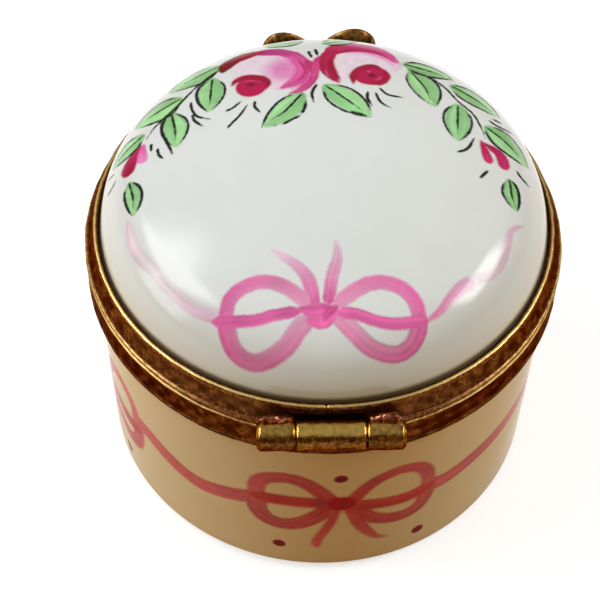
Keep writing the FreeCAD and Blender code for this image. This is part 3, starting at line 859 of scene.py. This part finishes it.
# Bows round the cup: each knot's place from the hinge, its height and the swag to its right
CUP_BOWS = (
    (1.1, 12.4, [(10.2, 11.8), (12.0, 11.5), (16.0, 12.0), (21.5, 12.3), (26.8, 12.2)]),
    (34.6, 12.2, [(43.6, 12.0), (47.0, 11.5), (52.0, 10.6), (57.0, 11.0), (61.9, 12.2)]),
    (69.6, 12.4, [(78.6, 12.2), (83.0, 11.4), (88.0, 11.0), (93.0, 11.2), (97.0, 11.3)]),
    (-30.3, 11.2, [(-21.4, 12.2), (-19.3, 12.2), (-16.4, 11.3), (-13.0, 10.5), (-9.6, 11.2),
                   (-6.9, 12.2)]),
)
CUP_DOTS = (
    (1.2, 16.9), (-4.5, 4.2), (9.5, 3.8), (-30.2, 15.8), (-36.0, 4.0), (-24.6, 3.2),
    (34.7, 16.7), (29.0, 4.1), (43.0, 3.8), (69.7, 16.9), (64.0, 4.2), (78.0, 3.9),
)
SWAG_WIDTH = 2.2
DOT_RADII = (0.66, 0.64)


def cup_porcelain(material):
    """The pot, painted with four bows joined by swags of ribbon."""
    foot = CUP_RADIUS - CUP_TAPER
    foot_inside = foot - FOOT_ROUND - FOOT_RING_WIDTH
    neck = SKIRT_LOW - CUP_NECK
    inside = CUP_RADIUS - CUP_WALL
    hollow = (foot - CUP_WALL - CUP_INSIDE_ROUND, CUP_FLOOR + CUP_INSIDE_ROUND)
    outline = np.vstack([
        run((0, FOOT_RECESS), (foot_inside - FOOT_RECESS, FOOT_RECESS), 4.0),
        run((foot_inside - FOOT_RECESS, FOOT_RECESS), (foot_inside, 0), 0.6),
        run((foot_inside, 0), (foot - FOOT_ROUND, 0), 1.0),
        arc((foot - FOOT_ROUND, FOOT_ROUND), FOOT_ROUND, -90, 0, 9)[:-1],
        run((foot, FOOT_ROUND), (CUP_RADIUS, neck), CUP_STEP),
        run((CUP_RADIUS, neck), (CUP_RADIUS, CUP_RIM), 0.6),
        run((CUP_RADIUS, CUP_RIM), (inside + CUP_LIP_ROUND, CUP_RIM), 1.2),
        arc((inside + CUP_LIP_ROUND, CUP_RIM - CUP_LIP_ROUND), CUP_LIP_ROUND, 90, 180, 5),
        arc(hollow, CUP_INSIDE_ROUND, 0, -90, 8),
        [(0, CUP_FLOOR)],
    ])
    points, faces = turned(outline, CUP_COLUMNS)
    piece = make_piece("cup_porcelain", (points, faces), "base", "porcelain", material, "base_cup")
    angle = np.arctan2(points[:, 1], points[:, 0]) - math.pi / 2
    outside = np.hypot(points[:, 0], points[:, 1]) > foot - 0.2
    unpainted = -99.0
    up = np.where(outside, points[:, 2], unpainted)
    paint = Paint(CUP_RADIUS * angle, up, CUP_GLAZE_IN_WARM_SHADE, 2 * math.pi * CUP_RADIUS)
    for _, _, swag in CUP_BOWS:
        paint.stroke("wash", swag, SWAG_WIDTH, (DUSTY, DUSTY))
    for knot, height, _ in CUP_BOWS:
        cup_bow(paint, knot, height)
    for place in CUP_DOTS:
        paint.blob("ink", place, DOT_RADII, 0, (DOT, DOT))
    paint.keep(piece)


def cup_bow(paint, knot, height):
    """A ribbon bow of two loops and two tails, placed by its knot."""
    def at(points):
        return [(knot + across, height + up) for across, up in points]

    loops = [
        ([(-0.6, 0.4), (-2.1, 2.6), (-3.35, 3.8), (-4.8, 4.3), (-6.5, 3.9), (-7.5, 2.9), (-7.8, 1.5),
          (-7.7, 0)], 1.8),
        ([(-0.6, -0.6), (-2.3, -2.6), (-3.8, -3.8), (-5.4, -4.2), (-6.9, -3.6), (-7.7, -2.2),
          (-7.8, -0.8)], 2.1),
        ([(1.3, 0.4), (2.5, 2.4), (3.9, 3.7), (5.8, 4.3), (7.6, 3.7), (8.6, 2.2), (8.9, 0.4)], 1.55),
        ([(1.3, -0.8), (3.1, -3.1), (5.0, -4.2), (6.9, -4.4), (8.2, -3.6), (8.8, -2.0), (8.9, 0)], 1.9),
    ]
    for points, width in loops:
        paint.stroke("wash", at(points), width, (DUSTY_DEEP, DUSTY))
    tails = [
        ([(-0.2, -1.2), (-0.7, -3.6), (-1.3, -5.3), (-1.9, -7.0), (-1.9, -8.3)], 1.05, 0.1),
        ([(1.2, -1.2), (2.1, -4.1), (2.9, -5.7), (3.9, -7.2), (5.0, -7.8)], 1.35, 0.5),
    ]
    for points, width, taper in tails:
        paint.stroke("wash", at(points), width, (DUSTY_DEEP, DUSTY), ends=(0, taper))
    left_strand = [(-8.4, 0), (-5.4, 0.2), (-2.5, 0.2), (-0.6, 0)]
    right_strand = [(0.8, -0.3), (3.7, -0.9), (6.6, -1.2), (9.4, -0.6)]
    for points in (left_strand, right_strand):
        paint.stroke("brush", at(points), 1.9, (DUSTY_DEEP, DUSTY_DEEP), ends=(0.2, 0.2))
    paint.blob("brush", (knot + 0.3, height), (1.4, 1.25), 0, (DUSTY_KNOT, DUSTY_KNOT))


def bead(centre, radius, start, end, count, crest, polish):
    """An arc of an outline with how rubbed it is, brightest at its crest."""
    angle = np.linspace(start, end, count)
    wear_and_light = polish * np.exp(-((angle - crest) / BEAD_SHINE) ** 2)
    return arc(centre, radius, start, end, count), wear_and_light


def flat(start, end, step, polish):
    """A straight run of an outline without its first point, with how rubbed it is."""
    points = run(start, end, step)[1:]
    return points, np.full(len(points), polish)


def clear_barrel(points, radius, start, end):
    """Pushes a band's points out of a round barrel on the hinge axis, on both sides of the centre."""
    y, z = points[:, 1] - HINGE_Y, points[:, 2] - HINGE_Z
    away = np.hypot(y, z)
    inside = (np.abs(points[:, 0]) >= start) & (np.abs(points[:, 0]) < end) & (away < radius)
    grow = np.where(inside, radius / np.maximum(away, 1e-6), 1)
    points[:, 1] = HINGE_Y + y * grow
    points[:, 2] = HINGE_Z + z * grow


def band(parts, seed):
    """Points, faces and rubbed shares of a band turned from an outline and never quite even. Its grime
    comes and goes, and its beads along the parting line are drawn darker beside the hinge as painted
    shade."""
    points, faces = turned(np.vstack([part for part, _ in parts]), BAND_COLUMNS, closed=True)
    outward = points[:, :2] / np.linalg.norm(points[:, :2], axis=1, keepdims=True)
    points[:, :2] += outward * ripples(points, BAND_DENTS, seed)[:, None]
    wear_and_light = np.repeat(np.concatenate([polish for _, polish in parts]), BAND_COLUMNS)
    wear_and_light += np.where(wear_and_light < 0, ripples(points, [BLOTCH], seed + len(BAND_DENTS)), 0)
    away = np.degrees(np.abs(np.arctan2(points[:, 0], points[:, 1])))
    parting = points[:, 2] < PARTING + 2 * RIM_BEAD
    # Painted shade: the parting beads are darker beside the hinge
    hinge_shade = HINGE_SHADING * (1 - eased(away, *HINGE_SHADED_ANGLES)) * parting
    return points, faces, np.where(wear_and_light > 0, wear_and_light * (1 - hinge_shade), wear_and_light)


def lid_band(material):
    """The lid's band: a bead against the porcelain, a plain band and a bead at the parting line."""
    low = (RIM_RADIUS - RIM_BEAD, PARTING + RIM_BEAD)
    top = (RIM_RADIUS - LID_INSET, LID_BEAD_TOP - LID_BEAD)
    inner = top[0] - LID_BEAD
    low_bead = bead(low, RIM_BEAD, -90, 100, 18, 42, PARTING_RUBBED)
    top_bead = bead(top, LID_BEAD, -30, 180, 22, 78, CREST_RUBBED)
    points, faces, wear_and_light = band([
        low_bead,
        flat(low_bead[0][-1], top_bead[0][0], FLAT_STEP, LID_FLAT_RUBBED),
        top_bead,
        flat((inner, top[1]), (inner, PARTING), 0.5, 0.0),
        flat((inner, PARTING), (low[0], PARTING), 0.3, 0.3),
    ], seed=21)
    seam = np.exp(-(((points[:, 0] - SEAM_X) / SEAM_WIDTH) ** 2)) * (points[:, 1] > 0)
    seam *= points[:, 2] > LID_BEAD_TOP - 2 * LID_BEAD
    points[:, 2] -= SEAM_DEPTH * seam
    clear_barrel(points, KNUCKLE_RADIUS + MIDDLE_RELIEF, 0, OUTER_START)
    clear_barrel(points, KNUCKLE_RADIUS, OUTER_START, PIN_END)
    piece = make_piece("lid_band", (points, faces), "lid", "brass", material, "lid_bezel")
    keep_values(piece, "wear_and_light", wear_and_light - seam)


def base_band(material):
    """The base's band: a bead at the parting line, a plain skirt and a fine bead along its edge."""
    low = (RIM_RADIUS - SKIRT_BEAD, SKIRT_EDGE + SKIRT_BEAD)
    top = (RIM_RADIUS - RIM_BEAD, PARTING - RIM_BEAD)
    inner = RIM_RADIUS - SKIRT_WALL
    under = PARTING - FLANGE
    # The edge bead is darkened as a painted shadow under the skirt
    low_bead = bead(low, SKIRT_BEAD, -90, 55, 10, 20, SKIRT_EDGE_SHADOW)
    top_bead = bead(top, RIM_BEAD, -55, 90, 14, 25, CREST_RUBBED)
    points, faces, wear_and_light = band([
        low_bead,
        flat(low_bead[0][-1], top_bead[0][0], FLAT_STEP, SKIRT_RUBBED),
        top_bead,
        flat((top[0], PARTING), (THROAT, PARTING), 0.3, FLANGE_RUBBED),
        (np.array([(THROAT, PARTING)]), np.array([0.4])),
        flat((THROAT, PARTING), (THROAT, under), 0.4, 0.2),
        (np.array([(THROAT, under), (inner, under)]), np.array([0.0, 0.0])),
        flat((inner, under), (inner, SKIRT_EDGE), 0.6, 0.0),
        (np.array([(inner, SKIRT_EDGE)]), np.array([0.1])),
    ], seed=31)
    clear_barrel(points, KNUCKLE_RADIUS, 0, OUTER_START)
    clear = TURNING_CLEARANCE
    clear_barrel(points, KNUCKLE_RADIUS + clear, OUTER_START, PIN_END + clear)
    piece = make_piece("base_band", (points, faces), "base", "brass", material, "base_bezel")
    keep_values(piece, "wear_and_light", wear_and_light)


def hinge_wear_and_light(points, ends, gold_and_light, grime_and_shade):
    """How rubbed a hinge piece is: bright above, partly as painted light, brown below, partly as
    painted shade, and bright along its upper ends, partly as a painted highlight.
    """
    up = (points[:, 2] - HINGE_Z) / KNUCKLE_RADIUS
    near_end = np.min([np.abs(points[:, 0] - end) for end in ends], axis=0)
    # Painted light from above and painted shade below, on top of the wear and grime
    wear_and_light = gold_and_light * eased(up, *GOLD_AND_LIGHT_HEIGHTS) - grime_and_shade * (1 - eased(up, *GRIME_AND_SHADE_HEIGHTS))
    edge = (1 - eased(near_end, *END_WIDTHS)) * eased(up, *END_HEIGHTS)
    return wear_and_light + END_WEAR_AND_HIGHLIGHT * gold_and_light * edge


def barrel(start, end, seed):
    """Points and faces of a hinge tube with bevelled ends, its outside lightly hammered."""
    edge = KNUCKLE_RADIUS - KNUCKLE_CHAMFER
    outline = np.vstack([
        [(KNUCKLE_BORE, start), (edge, start)],
        run((KNUCKLE_RADIUS, start + KNUCKLE_CHAMFER), (KNUCKLE_RADIUS, end - KNUCKLE_CHAMFER),
            BARREL_STEP),
        [(KNUCKLE_RADIUS, end - KNUCKLE_CHAMFER), (edge, end), (KNUCKLE_BORE, end)],
    ])
    points, faces = turned(outline, BARREL_COLUMNS, closed=True)
    radius = np.linalg.norm(points[:, :2], axis=1)
    change = ripples(points, KNUCKLE_DENTS, seed) - KNUCKLE_SHY
    points[:, :2] *= (1 + np.where(radius > edge, change, 0) / radius)[:, None]
    return on_hinge(points), faces


def leaf_plate():
    """Points and faces of the middle knuckle's soldered leaf: round-ended, with soft edges."""
    centre = (0, LEAF_LOW + LEAF_HALF)
    face = RIM_RADIUS + LEAF_PROUD
    outline = np.vstack([
        arc(centre, LEAF_HALF, 180, 360, 41),
        [(LEAF_HALF, HINGE_Z), (0, HINGE_Z), (-LEAF_HALF, HINGE_Z)],
    ])
    middle = np.array([0, (centre[1] + HINGE_Z) / 2])
    rings = []
    for inset, depth in ((0, RIM_RADIUS - SKIRT_WALL / 2), (0, face - LEAF_ROUND),
                         (0.3 * LEAF_ROUND, face - 0.3 * LEAF_ROUND), (LEAF_ROUND, face)):
        shape = middle + (outline - middle) * (1 - inset / LEAF_HALF)
        depths = np.sqrt(depth**2 - shape[:, 0] ** 2)
        rings.append(np.stack([shape[:, 0], depths, shape[:, 1]], 1))
    count = len(outline)
    points = np.vstack([*rings, [[0, face, middle[1]]]])
    faces = []
    for ring in range(len(rings) - 1):
        for k in range(count):
            low, follow = ring * count, (k + 1) % count
            faces.append([low + k, low + count + k, low + count + follow, low + follow])
    last = (len(rings) - 1) * count
    faces += [[last + k, len(points) - 1, last + (k + 1) % count] for k in range(count)]
    faces.append(list(range(count)))
    return points, faces


def hinge(material):
    """Two outer knuckles on the lid, the middle knuckle with its leaf on the base, and the pin."""
    sides = (("left", -OUTER_END, -OUTER_START), ("right", OUTER_START, OUTER_END))
    for seed, (side, start, end) in enumerate(sides):
        shape = barrel(start, end, 41 + seed)
        piece = make_piece("knuckle_" + side, shape, "lid", "brass", material, "lid_knuckle_" + side)
        keep_values(piece, "wear_and_light", hinge_wear_and_light(shape[0], (start, end), *OUTER_KNUCKLE))
    shape = joined(barrel(-MIDDLE_HALF, MIDDLE_HALF, 51), leaf_plate())
    piece = make_piece("knuckle_middle", shape, "base", "brass", material, "base_knuckle")
    ends = (-MIDDLE_HALF, MIDDLE_HALF)
    keep_values(piece, "wear_and_light", hinge_wear_and_light(shape[0], ends, *MIDDLE_KNUCKLE))
    pin(material)


def pin(material):
    """The hinge pin, with a peened head at each end."""
    head = PIN_END - OUTER_END
    curve = [(wide * PIN_HEAD_RADIUS, OUTER_END + high * head) for wide, high in PIN_HEAD_CURVE]
    half = [(PIN_RADIUS, OUTER_END), *curve, (0, PIN_END)]
    outline = [(radius, -x) for radius, x in reversed(half)] + half
    points, faces = turned(outline, BARREL_COLUMNS)
    points = on_hinge(points)
    piece = make_piece("pin", (points, faces), "lid", "brass", material, "hinge_pin")
    wear_and_light = PIN_RUBBED * eased(points[:, 2], HINGE_Z, HINGE_Z + PIN_HEAD_RADIUS)
    keep_values(piece, "wear_and_light", wear_and_light)


def solder_run(start, end, angle, reach, thick, wide, seed):
    """Points and faces of a lumpy run of solder along the hinge, at an angle about its axis."""
    share = np.linspace(0, 1, SOLDER_ROWS)
    swell = np.sqrt(np.clip(1 - np.abs(2 * share - 1) ** 3, 0, 1))
    swell[[0, -1]] = 0
    points, faces = turned(np.stack([swell, start + (end - start) * share], 1), SOLDER_COLUMNS)
    lumps = 1 + ripples(points * (wide, wide, 1), [SOLDER_LUMPS], seed)
    points[:, 0] *= thick * lumps
    points[:, 1] *= wide * lumps
    turn = math.radians(angle)
    out = KNUCKLE_RADIUS + reach + points[:, 0]
    y = HINGE_Y + out * math.cos(turn) - points[:, 1] * math.sin(turn)
    z = HINGE_Z + out * math.sin(turn) + points[:, 1] * math.cos(turn)
    return np.stack([points[:, 2], y, z], 1), faces


def solder_runs(material):
    """Fillets of solder above the outer knuckles and either side of the leaf."""
    over = joined(*[solder_run(*sizes) for sizes in LID_SOLDER])
    make_piece("lid_solder", over, "lid", "solder", material, "lid_hinge_solder")
    under = joined(*[solder_run(*sizes) for sizes in BASE_SOLDER])
    make_piece("base_solder", under, "base", "solder", material, "base_hinge_solder")


def dress(node, material):
    """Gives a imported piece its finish."""
    mesh = frame["nodes"][node].data
    mesh.materials.clear()
    mesh.materials.append(material)


# Stage: a board that throws warm light up at the cup and looks white, under a sky that is pale
# overhead and brown low down on the hinge's side
FLOOR_SIZE = 24.0
FLOOR_BOUNCE = np.array([0.41, 0.165, 0.015])
FLOOR_SEEN = np.array([0.6, 0.6, 0.6])
FLOOR_LIFT = 0.62
SKY_HIGH = np.array([0.36, 0.368, 0.366])
SKY_LOW = np.array([0.30, 0.23, 0.15])
SKY_FRONT = np.array([0.235, 0.18, 0.085])
HORIZON = np.array([0.80, 0.79, 0.77])
SKY_TURN = 25  # degrees from the hinge's side to the middle of the brown sky
LAMP_DISTANCE = 0.40
LAMP_EDGE = 0.25  # share of a lamp's width over which its edge fades
LAMP_TARGET = Vector((0, 0, 0.03))
WHITE = (1, 1, 1)
COOL = (0.88, 0.94, 1.0)
# Lamps: degrees from the hinge's side towards +X, degrees up, width, height, radiance and tint
LAMPS = (
    ("lamp_left", 103, 48, 0.29, 0.25, 6.0, WHITE),
    ("lamp_right", -91, 39, 0.265, 0.157, 10.5, WHITE),
    ("fill_left", 80, 18, 0.25, 0.215, 4.5, COOL),
)


def floor():
    """A pale floor, white to the eye and in reflections, that keeps the object's shadow."""
    edge = FLOOR_SIZE / 2
    mesh = bpy.data.meshes.new("floor")
    square = [(-edge, -edge, 0), (edge, -edge, 0), (edge, edge, 0), (-edge, edge, 0)]
    mesh.from_pydata(square, [], [(0, 1, 2, 3)])
    piece = placed("floor", mesh)
    g = Finish("pale_floor")
    rays = g.outputs("ShaderNodeLightPath")
    seen = g.math("MAXIMUM", rays["Is Camera Ray"], rays["Is Glossy Ray"])
    seen = g.math("MAXIMUM", seen, rays["Is Transmission Ray"])
    g.set(Base_Color=g.mix(seen, rgba(FLOOR_BOUNCE), rgba(FLOOR_SEEN)), Roughness=1.0)
    g.set(Specular_IOR_Level=0.0, Emission_Color=(1, 1, 1, 1))
    g.set(Emission_Strength=g.math("MULTIPLY", seen, FLOOR_LIFT))
    mesh.materials.append(g.material)


def sky():
    """Soft light: pale overhead, dimmer lower down, brown before the hinge, pale at the horizon."""
    world = bpy.data.worlds.new("studio")
    bpy.context.scene.world = world
    world.use_nodes = True
    g = Nodes(world.node_tree)
    direction = g.split(g.outputs("ShaderNodeTexCoord")["Generated"])
    rise = direction["Z"]
    colour = g.mix(g.spread(rise, 0.05, 0.8), rgba(SKY_LOW), rgba(SKY_HIGH))
    turn = math.radians(SKY_TURN)
    ahead = g.math("MULTIPLY", direction["Y"], math.cos(turn))
    ahead = g.math("SUBTRACT", ahead, g.math("MULTIPLY", direction["X"], math.sin(turn)))
    below = g.spread(rise, 0.68, 0.88, 1.0, 0.0)
    before = g.math("MULTIPLY", g.spread(ahead, 0.15, 0.6), below)
    colour = g.mix(before, colour, rgba(SKY_FRONT))
    colour = g.mix(g.spread(rise, 0.012, 0.03), rgba(HORIZON), colour)
    g.feed(g.tree.nodes["Background"].inputs["Color"], colour)


def softbox(name, turn, lift, wide, high, radiance, tint):
    """A soft-edged rectangular lamp aimed at the lid."""
    a, e = math.radians(turn), math.radians(lift)
    direction = Vector((math.sin(a) * math.cos(e), math.cos(a) * math.cos(e), math.sin(e)))
    lamp = bpy.data.lights.new(name, "AREA")
    lamp.shape = "RECTANGLE"
    lamp.size, lamp.size_y = wide, high
    lamp.energy = radiance * math.pi * wide * high
    lamp.color = tint
    lamp.use_nodes = True
    g = Nodes(lamp.node_tree)
    place = g.split(g.outputs("ShaderNodeNewGeometry")["Parametric"])
    across, up = [g.spread(g.math("PINGPONG", place[axis], 0.5), 0.0, LAMP_EDGE) for axis in "XY"]
    g.feed(g.tree.nodes["Emission"].inputs["Strength"], g.math("MULTIPLY", across, up))
    piece = placed(name, lamp)
    piece.location = LAMP_TARGET + direction * LAMP_DISTANCE
    piece.rotation_euler = direction.to_track_quat("Z", "Y").to_euler()


def camera():
    """The photograph's view: from behind and above, a long lens, turned a little."""
    target = Vector((2.07, -0.07, 15.6)) * MM
    position = Vector((5.80, 106.76, 156.85)) * MM
    roll = math.radians(0.99)
    back = (position - target).normalized()
    right = Vector((0, 0, 1)).cross(back).normalized()
    up = back.cross(right)
    level_right = math.cos(roll) * right + math.sin(roll) * up
    level_up = -math.sin(roll) * right + math.cos(roll) * up
    data = bpy.data.cameras.new("camera")
    data.lens, data.sensor_width = 108, 36
    data.clip_start = 0.01
    piece = placed("camera", data)
    turn = Matrix((level_right, level_up, back)).transposed().to_4x4()
    piece.matrix_world = Matrix.Translation(position) @ turn
    bpy.context.scene.camera = piece


bpy.context.scene.view_settings.view_transform = "Standard"
camera()
sky()
floor()
for lamp in LAMPS:
    softbox(*lamp)

band_brass = brass("band_brass", BRASS_DARK, BRASS_MIDDLE, BRASS_BRIGHT, BAND_DULLNESS, "wear_and_light")
hinge_brass = brass("hinge_brass", BRASS_DARK, HINGE_MIDDLE, HINGE_BRIGHT, HINGE_DULLNESS, "wear_and_light")
cast_brass = brass("cast_brass", CAST_DARK, CAST_MIDDLE, BRASS_BRIGHT, CAST_DULLNESS)
lid_porcelain(porcelain("lid_glaze", GLAZE, LID_SOFTNESS, LID_WARM, LID_STAIN_AND_SHADE, LID_POLISH))
cup_porcelain(porcelain("cup_glaze", CUP_GLAZE_IN_WARM_SHADE, CUP_SOFTNESS, CUP_WARM, CUP_STAIN_AND_SHADE, CUP_POLISH))
lid_band(band_brass)
base_band(band_brass)
hinge(hinge_brass)
solder_runs(solder())
for node in ("base_throat_ring", "catch_stud", "lid_seat_ring", "clasp_tongue", "clasp_bow"):
    dress(node, cast_brass)
bedding = cement()
for node in ("base_bedding_ring", "lid_bedding_ring"):
    dress(node, bedding)
